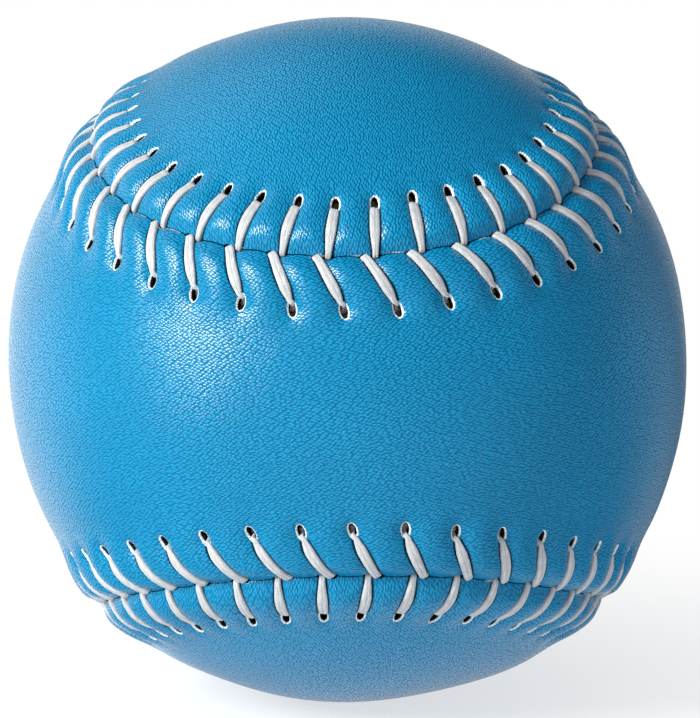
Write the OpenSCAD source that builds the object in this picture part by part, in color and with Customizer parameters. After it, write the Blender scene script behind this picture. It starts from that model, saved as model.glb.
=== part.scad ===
// Softball: a foam core under a cover of two figure-eight leather panels, cemented down and
// sewn edge to edge with two waxed threads. Millimetres, +Z up, origin at the ball's centre.
// The front panel's waist faces -Y and its round ends wrap to the sides. The back panel's waist
// faces +Y and its round ends wrap over the top and under the bottom.

/* [Ball] */
// Diameter over the smooth middle of the panels
ball_d = 96.8; // [90:0.1:104]
// Thickness of the cover leather
leather_t = 1.3; // [1.2:0.05:1.5]
// Thickness of the rubber cement between the core and the leather
cement_t = 0.2; // [0.15:0.05:0.3]

/* [Seam line] */
// Width of a panel's waist, as the angle that it spans at the ball's centre
waist_angle = 52; // [50:0.5:54]
// Radius of a panel's round end, as the angle that it spans at the ball's centre
lobe_angle = 45.4; // [45:0.1:46]
// Sweep of half of that round end about its own middle
lobe_sweep = 74.3; // [72:0.1:76]
// Clear width between the two edges of the leather
seam_gap = 0.9; // [0.85:0.05:1.1]

/* [Welt] */
// Height that the sewn edge swells above the smooth middle of a panel
welt_h = 1.7; // [1.6:0.05:2]
// Distance from the seam at which the swelling ends
welt_w = 12; // [11.5:0.1:13]
// Depth of the groove along the seam, below the swelling
groove_depth = 1; // [0.8:0.05:1.1]
// Half width of that groove
groove_w = 1.6; // [1.4:0.05:1.8]

/* [Stitching] */
// Number of stitch holes along the edge of each panel
stitch_count = 88; // [80:8:96]
// Distance of the holes from the seam
hole_u = 7.1; // [6.8:0.05:7.3]
// Diameter of a stitch hole
hole_d = 1.5; // [1.4:0.05:1.7]
// Width of the waxed thread where it lies flat on the leather
thread_w = 1.2; // [1:0.05:1.25]
// Thickness of the waxed thread there
thread_t = 0.6; // [0.45:0.05:0.6]
// Clearance between the thread and the leather that it lies on
thread_gap = 0.15; // [0.12:0.01:0.2]
// Clearance between the thread's buried runs and the core
core_gap = 0.2; // [0.18:0.01:0.24]

/* [Hidden] */

// Clearance of the corners of the leather's flat inner faces over the round cement
seat_gap = 0.38;
// Clearance that keeps the two round faces of the cement and the core from cutting each other
bond_gap = 0.05;
ball_r = ball_d / 2;
cement_r = ball_r - leather_t - seat_gap;
core_r = cement_r - cement_t - bond_gap;

// Stitch layout, as shares of one stitch's length along the seam
front_hole_share = 0.9;
back_hole_share = 0.7;
front_lean_share = 0.55;
back_lean_share = 0.12;
under_lead_share = 0.2;

// Rows of each panel, as shares of the way from its edge to the end of the welt
outer_row_shares = [0, 0.13, 0.3, 0.55, 0.8, 1];
inner_row_shares = [0, 0.3, 0.7, 1];
// Rows between the end of the welt and the panel's middle line
smooth_rows = 2;

// Where a stitch's rings lie between its hole and the seam, as shares of that way
crest_shares = [0.44, 0.73];
// Where the thread turns towards its next hole under the other panel
under_turn_share = 0.45;
// Width and thickness that are left of the thread's section where it is pulled tight
tight_width_share = 0.8;
tight_thick_share = 0.7;
// Width and thickness of the thread at each ring of a stitch, as shares of the flat section
ring_width_shares = concat([tight_width_share, 0.9, 1, 1], [for (k = [1 : 3]) tight_width_share]);
ring_thick_shares = concat([tight_thick_share, 0.8, 1, 1], [for (k = [1 : 3]) tight_thick_share]);
thread_sides = 4;

quarter = stitch_count / 4;
half_count = stitch_count / 2;
round_facets = 180;

// Seam line: tangent arcs of circles on the unit sphere. One eighth of it runs from the far end
// of a round end of the front panel to the point where the two panels change places.
lobe_tilt = 90 - waist_angle / 2 - lobe_angle;
lobe_axis = [cos(lobe_tilt), sin(lobe_tilt), 0];
lobe_end = [cos(lobe_tilt + lobe_angle), sin(lobe_tilt + lobe_angle), 0];
change_point = unit([1, 0, -1]);
lobe_join = turned(lobe_end, lobe_axis, lobe_sweep);
join_inward = unit(lobe_axis - lobe_axis * lobe_join * lobe_join);
flank_angle = atan2(1 - lobe_join * change_point, join_inward * change_point);
flank_axis = cos(flank_angle) * lobe_join + sin(flank_angle) * join_inward;
flank_sweep = acos((lobe_join - cos(flank_angle) * flank_axis)
    * (change_point - cos(flank_angle) * flank_axis) / pow(sin(flank_angle), 2));
lobe_length = sin(lobe_angle) * lobe_sweep;
flank_length = sin(flank_angle) * flank_sweep;
// Angle of seam that one stitch takes up
pitch_angle = (lobe_length + flank_length) / (stitch_count / 8);

function unit(v) = v / norm(v);
function mix(a, b, share) = a + (b - a) * share;
// Point p turned backwards by an angle about an axis through the centre
function turned(p, axis, angle) =
    p * cos(angle) - cross(axis, p) * sin(angle) + axis * (axis * p) * (1 - cos(angle));
// Direction on the sphere from p towards the middle of its arc
function inward(p, axis, angle) = (axis - cos(angle) * p) / sin(angle);
// A point of the seam and the direction towards the front panel, in the first eighth
function arc_point(p, axis, angle) = [p, inward(p, axis, angle)];
function eighth(t) = let (way = t * pitch_angle)
    way < lobe_length
        ? arc_point(turned(lobe_end, lobe_axis, way / sin(lobe_angle)), lobe_axis, lobe_angle)
        : arc_point(
            turned(lobe_join, flank_axis, (way - lobe_length) / sin(flank_angle)),
            flank_axis, flank_angle);
// The half turn that swaps the two panels
function swapped(p) = [-p.z, -p.y, -p.x];
function quarter_point(t) = t <= quarter / 2
    ? eighth(t)
    : let (twin = eighth(quarter - t)) [swapped(twin[0]), -swapped(twin[1])];
function scaled(p, signs) = [p.x * signs.x, p.y * signs.y, p.z * signs.z];
// The seam at stitch number t: point and direction towards the front panel
function seam(t) =
    let (
        index = floor(t / quarter),
        turn = index - 4 * floor(index / 4),
        way = t - quarter * index,
        signs = [[1, 1, 1], [-1, 1, 1], [-1, 1, -1], [1, 1, -1]][turn],
        base = quarter_point(turn % 2 == 0 ? way : quarter - way)
    )
    [scaled(base[0], signs), scaled(base[1], signs)];

// Angle at the centre of a length on the cover
function cover_angle(length) = length / ball_r * 180 / PI;
// Point at stitch number t, at a distance from the seam towards the front panel, at a radius
function place(t, away, radius) =
    let (line = seam(t), angle = cover_angle(away))
    radius * (cos(angle) * line[0] + sin(angle) * line[1]);
// Swelling of the cover at a distance from the seam
function welt(away) = away >= welt_w
    ? 0
    : welt_h * pow(cos(90 * away / welt_w), 2) - groove_depth * exp(-pow(away / groove_w, 2));
function outer_r(away) = ball_r + welt(away);
function inner_r(away) = outer_r(away) - leather_t;

// Rows of one panel: side is 1 for the front and -1 for the back
function ray_t(i, side) = i + 0.5 + (side > 0 ? 0 : quarter);
function middle_away(i, side) =
    let (line = seam(ray_t(i, side)), across = side > 0 ? 2 : 0)
    atan2(abs(line[0][across]), abs(line[1][across])) * PI / 180 * ball_r;
function row_away(row, shares, middle) = row < len(shares)
    ? mix(seam_gap / 2, welt_w, shares[row])
    : mix(welt_w, middle, (row - len(shares) + 1) / (smooth_rows + 1));
function panel_point(i, side, away, radius) = place(ray_t(i, side), side * away, radius);
// The rays of a round end all meet in its middle
last_lobe_ray = floor(lobe_length / pitch_angle - 0.5);
middle_count = half_count - 2 * last_lobe_ray;
function middle_index(i) =
    min(max(min(i, stitch_count - 1 - i), last_lobe_ray), half_count - 1 - last_lobe_ray)
    - last_lobe_ray;
function next_ray(i) = (i + 1) % stitch_count;
function facing(face, side) = side > 0 ? face : [face[2], face[1], face[0]];
function band(first, second, side) = [
    for (i = [0 : stitch_count - 1])
        let (a = first + i, b = first + next_ray(i), c = second + next_ray(i), d = second + i)
        each [facing([a, b, c], side), facing([a, c, d], side)]
];
function middle_fan(row, middle, side) = [
    for (i = [0 : stitch_count - 1])
        let (a = row + i, b = row + next_ray(i), c = middle + middle_index(next_ray(i)),
            d = middle + middle_index(i))
        each concat([facing([a, b, c], side)], c == d ? [] : [facing([a, c, d], side)])
];

// Figure-eight shell between an outer and an inner skin, with straight edges along the seam
module panel_shell(side) {
    outer_rows = len(outer_row_shares) + smooth_rows;
    inner_rows = len(inner_row_shares) + smooth_rows;
    outer = [
        for (row = [0 : outer_rows - 1], i = [0 : stitch_count - 1])
            let (away = row_away(row, outer_row_shares, middle_away(i, side)))
            panel_point(i, side, away, outer_r(away))
    ];
    inner = [
        for (row = [0 : inner_rows - 1], i = [0 : stitch_count - 1])
            let (away = row_away(row, inner_row_shares, middle_away(i, side)))
            panel_point(i, side, away, inner_r(away))
    ];
    middles = [
        for (radius = [outer_r(welt_w), inner_r(welt_w)], j = [0 : middle_count - 1])
            let (i = j + last_lobe_ray)
            panel_point(i, side, middle_away(i, side), radius)
    ];
    inner_start = len(outer);
    middle_start = inner_start + len(inner);
    faces = [
        for (row = [0 : outer_rows - 2])
            each band(row * stitch_count, (row + 1) * stitch_count, side),
        each middle_fan((outer_rows - 1) * stitch_count, middle_start, side),
        for (row = [0 : inner_rows - 2])
            each band(inner_start + row * stitch_count, inner_start + (row + 1) * stitch_count, -side),
        each middle_fan(inner_start + (inner_rows - 1) * stitch_count, middle_start + middle_count, -side),
        each band(inner_start, 0, side)
    ];
    polyhedron(points = concat(outer, inner, middles), faces = faces, convexity = 6);
}

// Turns a child that stands along Z to point away from the ball's centre through p
module outward(p) {
    rotate([0, acos(p.z / norm(p)), atan2(p.y, p.x)])
        children();
}

function hole_t(i, side) = i + (side > 0 ? front_hole_share : back_hole_share);

module stitch_holes(side) {
    for (i = [0 : stitch_count - 1])
        outward(place(hole_t(i, side), side * hole_u, ball_r))
            translate([0, 0, core_r])
                cylinder(h = outer_r(hole_u) + leather_t - core_r, d = hole_d, $fn = 24);
}

module cover_panel(side) {
    difference() {
        panel_shell(side);
        stitch_holes(side);
    }
}

module cover_panel_front() {
    color("steelblue") cover_panel(1);
}
module cover_panel_back() {
    color("steelblue") cover_panel(-1);
}

// Everything that the smooth part of one panel covers, from the ball's centre outwards
module panel_cone(side) {
    rows = smooth_rows + 1;
    rim = [
        for (row = [0 : rows - 1], i = [0 : stitch_count - 1])
            let (middle = middle_away(i, side), away = mix(welt_w, middle, row / rows))
            panel_point(i, side, away, ball_d)
    ];
    middles = [
        for (j = [0 : middle_count - 1])
            let (i = j + last_lobe_ray)
            panel_point(i, side, middle_away(i, side), ball_d)
    ];
    faces = [
        for (row = [0 : rows - 2])
            each band(row * stitch_count, (row + 1) * stitch_count, side),
        each middle_fan((rows - 1) * stitch_count, len(rim), side),
        for (i = [0 : stitch_count - 1])
            facing([next_ray(i), i, len(rim) + middle_count], side)
    ];
    polyhedron(points = concat(rim, middles, [[0, 0, 0]]), faces = faces, convexity = 6);
}

// Rubber cement under the smooth part of one panel, between the channels of the threads
module cement(side) {
    intersection() {
        difference() {
            sphere(r = cement_r, $fn = round_facets);
            sphere(r = cement_r - cement_t, $fn = round_facets);
        }
        panel_cone(side);
    }
}

module core() {
    color("wheat") sphere(r = core_r, $fn = round_facets);
}
module cement_front() {
    color("khaki") cement(1);
}
module cement_back() {
    color("khaki") cement(-1);
}

// Rings of one stitch, as stitch number, distance from the seam and radius: down in the hole,
// over its rim, along the leather, into the seam, down to the core and off to the next hole
function stitch_rings(i, side) =
    let (
        hole = hole_t(i, side),
        foot = hole - (side > 0 ? front_lean_share : back_lean_share),
        under = core_r + core_gap + tight_thick_share * thread_t / 2,
        over = thread_gap + thread_t / 2
    )
    [
        [hole, side * hole_u, under],
        [hole, side * hole_u, outer_r(hole_u) + over],
        for (share = crest_shares)
            let (away = hole_u * (1 - share))
            [mix(hole, foot, share), side * away, outer_r(away) + over],
        [foot, 0, outer_r(seam_gap / 2) + over],
        [foot, 0, under],
        [foot + under_lead_share, -side * hole_u * under_turn_share, under]
    ];
function thread_side(i, first) = (i + first) % 2 == 0 ? 1 : -1;
function ring_points(before, at, after, width, thick, sign) =
    let (
        leave = unit(after - at),
        travel = unit(leave + unit(at - before)),
        across = sign * unit(cross(travel, unit(at))),
        up = cross(across, travel) / (travel * leave)
    )
    [
        for (corner = [0 : thread_sides - 1])
            let (angle = (corner + 0.5) * 360 / thread_sides)
            at + (across * width * cos(angle) + up * thick * sin(angle)) / sqrt(2)
    ];

// One waxed thread: it comes up a hole, crosses to the seam, and runs under the other panel
// to that panel's next hole, all the way round, and closes on itself
module thread(first) {
    ring_count = len(crest_shares) + 5;
    total = stitch_count * ring_count;
    path = [
        for (i = [0 : stitch_count - 1])
            each [for (ring = stitch_rings(i, thread_side(i, first))) place(ring[0], ring[1], ring[2])]
    ];
    points = [
        for (k = [0 : total - 1])
            let (
                ring = k % ring_count,
                flipped = (ring == 0 ? -1 : 1) * (floor(k / ring_count) % 2 == 0 ? 1 : -1)
            )
            each ring_points(
                path[(k + total - 1) % total], path[k], path[(k + 1) % total],
                thread_w * ring_width_shares[ring], thread_t * ring_thick_shares[ring], flipped)
    ];
    faces = [
        for (k = [0 : total - 1], corner = [0 : thread_sides - 1])
            let (
                next = (k + 1) % total * thread_sides,
                this = k * thread_sides,
                turn = (corner + 1) % thread_sides
            )
            each [
                [this + corner, this + turn, next + turn],
                [this + corner, next + turn, next + corner]
            ]
    ];
    polyhedron(points = points, faces = faces, convexity = 10);
}

module thread_first() {
    color("white") thread(0);
}
module thread_second() {
    color("gainsboro") thread(1);
}

core();
cement_front();
cement_back();
cover_panel_front();
cover_panel_back();
thread_first();
thread_second();
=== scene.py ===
"""Softball with a blue leather cover: the looks of its cover panels, waxed threads, core and cement.

Lengths in the property groups are metres. The functions that shape the leather and the threads
work in millimetres, and a mesh is scaled to metres when it is made. A place on the cover is a
stitch number along the seam and a distance from it. Number 0 is the far end of the front panel's
right round end, and a quarter of the way on is the middle of that panel's lower edge.
"""

import math

import bpy
import numpy as np
from mathutils import Matrix, Vector


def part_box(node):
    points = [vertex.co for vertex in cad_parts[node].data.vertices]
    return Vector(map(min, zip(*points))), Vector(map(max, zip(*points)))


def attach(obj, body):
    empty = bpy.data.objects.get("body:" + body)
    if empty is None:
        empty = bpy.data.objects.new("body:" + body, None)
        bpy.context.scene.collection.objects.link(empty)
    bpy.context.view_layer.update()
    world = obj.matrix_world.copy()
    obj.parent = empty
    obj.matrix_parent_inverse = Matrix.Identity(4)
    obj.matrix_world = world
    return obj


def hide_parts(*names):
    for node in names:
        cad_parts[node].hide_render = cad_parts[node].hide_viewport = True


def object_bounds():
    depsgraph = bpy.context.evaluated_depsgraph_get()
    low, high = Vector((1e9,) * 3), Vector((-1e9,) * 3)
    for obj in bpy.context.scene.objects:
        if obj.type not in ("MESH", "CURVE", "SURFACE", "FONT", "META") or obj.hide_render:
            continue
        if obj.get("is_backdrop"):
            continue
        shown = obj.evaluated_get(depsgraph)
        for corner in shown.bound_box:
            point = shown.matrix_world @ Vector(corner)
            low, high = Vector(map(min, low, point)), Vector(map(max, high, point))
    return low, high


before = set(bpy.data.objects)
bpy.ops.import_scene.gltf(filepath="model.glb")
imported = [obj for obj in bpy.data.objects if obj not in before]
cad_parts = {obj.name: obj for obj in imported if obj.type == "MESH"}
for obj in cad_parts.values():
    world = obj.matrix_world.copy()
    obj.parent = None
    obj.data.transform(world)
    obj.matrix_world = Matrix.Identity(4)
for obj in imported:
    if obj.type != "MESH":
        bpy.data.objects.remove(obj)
CAD_LOW, CAD_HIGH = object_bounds()

bl_info = {
    "name": "Softball",
    "version": (1, 0, 0),
    "blender": (4, 5, 0),
    "location": "View3D > Sidebar > Softball",
    "description": "Builds the leather cover, the threads and the studio of a softball",
    "category": "Add Mesh",
}

MM = 0.001
BODY = "root"
FRONT, BACK = 1, -1
SIDES = {FRONT: "front", BACK: "back"}
CORE_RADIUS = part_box("core")[1].x / MM
GRAIN_RADIUS = CAD_HIGH.x / MM

# The photo's size and the ball's centre in it, in pixels
PHOTO_W, PHOTO_H = 700, 718
BALL_CENTRE_X, BALL_CENTRE_Y = 347.4, 359.7

# Directions of the bright parts of the room, and the cosines at which each starts and is full
BACK_WAY, BACK_SPAN = (0, 1, 0), (0.8, 1.0)
WALL_WAY, WALL_FULL = (-0.732, 0.659, -0.174), 0.98
SCREEN_WAY, SCREEN_SPAN = (0.866, 0.5, 0), (0.88, 1.0)
ABOVE_WAY, ABOVE_SPAN = (-0.49, 0.48, 0.72), (0.8, 1.0)
WALL_START_IN_ROOM, WALL_START_ON_TABLE = 0.78, 0.6

# The key lamp's azimuth, elevation and distance, its width and height, and its colour
KEY_PLACE, KEY_SIZE, KEY_COLOUR = (-52, 28.5, 0.95), (0.25, 0.38), (1, 1, 0.88)
AMBIENT_COLOUR = (0.95, 1, 1.06, 1)
TABLE_COLOUR = (0.9, 0.9, 0.9, 1)
TABLE_HALF = 3.0
# Distances from the ball's centre over which the table turns white, and its whiteness at both
TABLE_FADE = (0.04, 0.13, 0.55, 1.0)
# Distances over which the glow that gloss shows under the ball ends, and its strength at both
TABLE_GLOSS = (0.056, 0.08, 0.75, 0.0)


class SoftballCover(bpy.types.PropertyGroup):
    """Sizes of the leather cover"""

    radius: bpy.props.FloatProperty(
        name="Radius", description="Radius over the smooth middle of the panels",
        default=CAD_HIGH.x, unit="LENGTH", precision=5)
    leather: bpy.props.FloatProperty(
        name="Leather", description="Thickness of the leather",
        default=0.0013, unit="LENGTH", precision=5)
    waist: bpy.props.FloatProperty(
        name="Waist", description="Width of a panel's waist, as an angle at the ball's centre",
        default=math.radians(52), subtype="ANGLE")
    lobe: bpy.props.FloatProperty(
        name="Round end", description="Radius of a panel's round end, as an angle at the centre",
        default=math.radians(45.4), subtype="ANGLE")
    lobe_sweep: bpy.props.FloatProperty(
        name="Round end sweep", description="Sweep of half a round end about its own middle",
        default=math.radians(74.3), subtype="ANGLE")
    welt_height: bpy.props.FloatProperty(
        name="Welt height", description="Height that the sewn edge swells above the panels",
        default=0.0017, unit="LENGTH", precision=5)
    welt_width: bpy.props.FloatProperty(
        name="Welt width", description="Distance from the seam at which the swelling ends",
        default=0.012, unit="LENGTH", precision=5)
    groove_depth: bpy.props.FloatProperty(
        name="Groove depth", description="Depth of the groove along the seam",
        default=0.00145, unit="LENGTH", precision=5)
    groove_width: bpy.props.FloatProperty(
        name="Groove half width", description="Half width of the groove along the seam",
        default=0.0017, unit="LENGTH", precision=5)
    edge_gap: bpy.props.FloatProperty(
        name="Edge gap", description="Half of the gap between the two edges where they touch",
        default=0.00002, unit="LENGTH", precision=5)
    foot_gap: bpy.props.FloatProperty(
        name="Foot gap", description="Half of the gap where the threads dive between the edges",
        default=0.00036, unit="LENGTH", precision=5)
    pillow: bpy.props.FloatProperty(
        name="Pillow", description="Height that the leather puffs up between two stitches",
        default=0.00065, unit="LENGTH", precision=5)
    dent: bpy.props.FloatProperty(
        name="Dent", description="Depth that a stitch presses into the leather",
        default=0.00036, unit="LENGTH", precision=5)


class SoftballStitching(bpy.types.PropertyGroup):
    """Sizes of the holes and the two threads"""

    count: bpy.props.IntProperty(
        name="Stitches", description="Number of stitches along the edge of each panel",
        default=88, min=80, max=96, step=8)
    hole_distance: bpy.props.FloatProperty(
        name="Hole distance", description="Distance of the front panel's holes from the seam",
        default=0.0071, unit="LENGTH", precision=5)
    hole_width: bpy.props.FloatProperty(
        name="Hole width", description="Width of a stretched hole along the seam",
        default=0.00098, unit="LENGTH", precision=5)
    hole_length: bpy.props.FloatProperty(
        name="Hole length", description="Length of a stretched hole across the seam",
        default=0.0021, unit="LENGTH", precision=5)
    rim: bpy.props.FloatProperty(
        name="Raw rim", description="Width of the raw leather round a hole",
        default=0.00015, unit="LENGTH", precision=5)
    thread_width: bpy.props.FloatProperty(
        name="Thread width", description="Width of the flat waxed thread",
        default=0.00142, unit="LENGTH", precision=5)
    thread_thickness: bpy.props.FloatProperty(
        name="Thread thickness", description="Thickness of the flat waxed thread",
        default=0.00095, unit="LENGTH", precision=5)


class SoftballFinish(bpy.types.PropertyGroup):
    """Colours and surface of the pieces"""

    leather: bpy.props.FloatVectorProperty(
        name="Leather", description="Colour of the coated leather",
        default=(0.0003, 0.268, 0.566), size=3, min=0, max=1, subtype="COLOR")
    # Valley colour: partly the grain's own darker tone, partly painted shade in the valleys between the
    # pebbles
    valley_tone_and_shade: bpy.props.FloatVectorProperty(
        name="Leather valleys", description="Colour of the leather between its pebbles",
        default=(0.0003, 0.167, 0.355), size=3, min=0, max=1, subtype="COLOR")
    raw_leather: bpy.props.FloatVectorProperty(
        name="Raw leather", description="Colour of the leather where it is cut or punched",
        default=(0.88, 0.9, 0.92), size=3, min=0, max=1, subtype="COLOR")
    thread: bpy.props.FloatVectorProperty(
        name="Thread", description="Colour of the waxed thread",
        default=(0.595, 0.61, 0.67), size=3, min=0, max=1, subtype="COLOR")
    foam: bpy.props.FloatVectorProperty(
        name="Foam", description="Colour of the core",
        default=(0.62, 0.52, 0.31), size=3, min=0, max=1, subtype="COLOR")
    cement: bpy.props.FloatVectorProperty(
        name="Cement", description="Colour of the dried rubber cement",
        default=(0.50, 0.36, 0.13), size=3, min=0, max=1, subtype="COLOR")
    pebble: bpy.props.FloatProperty(
        name="Pebble", description="Spacing of the leather's pebbled grain",
        default=0.00033, unit="LENGTH", precision=5)
    relief: bpy.props.FloatProperty(
        name="Grain relief", description="Depth of the leather's grain",
        default=0.00016, unit="LENGTH", precision=6)
    coat_relief: bpy.props.FloatProperty(
        name="Coat relief", description="Depth of the grain that the clear coat leaves open",
        default=0.00003, unit="LENGTH", precision=6)


class SoftballStudio(bpy.types.PropertyGroup):
    """Camera, lamps, floor and the room that gloss shows"""

    distance: bpy.props.FloatProperty(
        name="Camera distance", description="Distance of the camera from the ball's centre",
        default=0.581, unit="LENGTH")
    elevation: bpy.props.FloatProperty(
        name="Camera elevation", description="Angle of the camera above the ball's level",
        default=math.radians(10.07), subtype="ANGLE")
    azimuth: bpy.props.FloatProperty(
        name="Camera azimuth", description="Angle of the camera to the right of the front",
        default=math.radians(0.1), subtype="ANGLE")
    roll: bpy.props.FloatProperty(
        name="Camera roll", description="Tilt of the camera about its own line of sight",
        default=math.radians(-0.75), subtype="ANGLE")
    ball_pixels: bpy.props.FloatProperty(
        name="Ball radius in the photo", description="Radius of the smooth cover in the photo",
        default=342.4)
    key_power: bpy.props.FloatProperty(
        name="Key lamp", description="Power of the tall lamp at the front left",
        default=12.1, unit="POWER")
    ambient: bpy.props.FloatProperty(
        name="Ambient light", description="Strength of the light from all round", default=0.40)
    table_glow: bpy.props.FloatProperty(
        name="Table glow", description="Strength of the light from the pale table", default=0.25)
    room: bpy.props.FloatProperty(
        name="Room", description="Brightness of the dark room, as gloss shows it", default=0.01)
    back: bpy.props.FloatProperty(
        name="Back", description="Brightness of the wall behind the ball, as gloss shows it",
        default=0.8)
    wall: bpy.props.FloatProperty(
        name="Wall", description="Brightness of the wall at the back left, as gloss shows it",
        default=1.25)
    screen: bpy.props.FloatProperty(
        name="Screen", description="Brightness of the screen at the back right, as gloss shows it",
        default=0.42)
    above: bpy.props.FloatProperty(
        name="Above", description="Brightness high at the back left, as gloss shows it",
        default=0.8)


def settings():
    """The property groups of the scene that shape and finish the pieces"""
    scene = bpy.context.scene
    return scene.softball_cover, scene.softball_stitching, scene.softball_finish


def unit(v):
    """Rows of v with length 1"""
    return v / np.linalg.norm(v, axis=-1, keepdims=True)


def smooth(low, high, x):
    """Smooth step from 0 at low to 1 at high"""
    share = np.clip((x - low) / (high - low), 0, 1)
    return share * share * (3 - 2 * share)


def turned(p, axis, angle):
    """Point p turned backwards by an angle about an axis through the centre"""
    angle = np.asarray(angle)[..., None]
    return (
        p * np.cos(angle)
        - np.cross(axis, p) * np.sin(angle)
        + axis * np.dot(axis, p) * (1 - np.cos(angle))
    )


class Seam:
    """The closed line between the two panels: tangent arcs of circles on the unit sphere"""

    # Places where the line is uneven: stitch number, size and reach in stitches. The spacing
    # moves the stitches along the line, in stitches, and the sag moves it off the arcs, in mm.
    SPACING = (69, 0.16, 3.2), (59, -0.2, 2.5), (26, 0.09, 4), (18, -0.1, 2.5)
    SAG = (16, -0.8, 2.5), (27.5, -0.6, 2.5)

    def __init__(self, cover, count):
        self.count = count
        self.quarter = count / 4
        self.radius = cover.radius / MM
        self.lobe = cover.lobe
        tilt = math.pi / 2 - cover.waist / 2 - cover.lobe
        self.lobe_axis = np.array([math.cos(tilt), math.sin(tilt), 0])
        self.lobe_end = np.array([math.cos(tilt + cover.lobe), math.sin(tilt + cover.lobe), 0])
        self.join = turned(self.lobe_end, self.lobe_axis, cover.lobe_sweep)
        change = np.array([1, 0, -1]) / math.sqrt(2)
        side = unit(self.lobe_axis - self.join * np.dot(self.lobe_axis, self.join))
        self.flank = math.atan2(1 - np.dot(self.join, change), np.dot(side, change))
        self.flank_axis = math.cos(self.flank) * self.join + math.sin(self.flank) * side
        rim = [p - math.cos(self.flank) * self.flank_axis for p in (self.join, change)]
        flank_sweep = math.acos(np.dot(*rim) / math.sin(self.flank) ** 2)
        self.lobe_length = math.sin(cover.lobe) * cover.lobe_sweep
        flank_length = math.sin(self.flank) * flank_sweep
        self.pitch_angle = (self.lobe_length + flank_length) / (count / 8)
        self.pitch = self.pitch_angle * self.radius

    def eighth(self, t):
        """Points and directions towards the front panel in the first eighth"""
        way = t * self.pitch_angle
        on_lobe = (way < self.lobe_length)[:, None]
        p = np.where(
            on_lobe,
            turned(self.lobe_end, self.lobe_axis, way / math.sin(self.lobe)),
            turned(self.join, self.flank_axis, (way - self.lobe_length) / math.sin(self.flank)),
        )
        axis = np.where(on_lobe, self.lobe_axis, self.flank_axis)
        angle = np.where(on_lobe, self.lobe, self.flank)
        return p, (axis - np.cos(angle) * p) / np.sin(angle)

    def pulled(self, t, places):
        """Smooth unevenness along the seam: stitch number, size and reach of each place"""
        total = np.zeros_like(t)
        for middle, size, reach in places:
            off = (t - middle + self.count / 2) % self.count - self.count / 2
            total += size * np.exp(-((off / reach) ** 2))
        return total

    def line(self, t):
        """Points of the seam at stitch numbers t and directions towards the front panel"""
        sag = self.pulled(t, self.SAG)[:, None] / self.radius
        t = t + self.pulled(t, self.SPACING)
        index = np.floor(t / self.quarter)
        turn = (index % 4).astype(int)
        way = t - self.quarter * index
        way = np.where(turn % 2 == 0, way, self.quarter - way)
        near = (way <= self.quarter / 2)[:, None]
        p, n = self.eighth(np.minimum(way, self.quarter - way))
        swap = [2, 1, 0]
        p = np.where(near, p, -p[:, swap])
        n = np.where(near, n, n[:, swap])
        signs = np.array([[1, 1, 1], [-1, 1, 1], [-1, 1, -1], [1, 1, -1]])[turn]
        p, n = p * signs, n * signs
        return np.cos(sag) * p + np.sin(sag) * n, np.cos(sag) * n - np.sin(sag) * p

    def place(self, t, away, radius):
        """Points at stitch numbers t, at distances from the seam towards the front panel"""
        t, away, radius = (x.ravel() for x in np.broadcast_arrays(t, away, radius))
        p, n = self.line(t)
        angle = (away / self.radius)[:, None]
        return radius[:, None] * (np.cos(angle) * p + np.sin(angle) * n)

    def middle(self, t, side):
        """Distance from the seam to the panel's middle line"""
        p, n = self.line(t)
        across = 2 if side == FRONT else 0
        return np.arctan2(np.abs(p[:, across]), np.abs(n[:, across])) * self.radius


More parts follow.
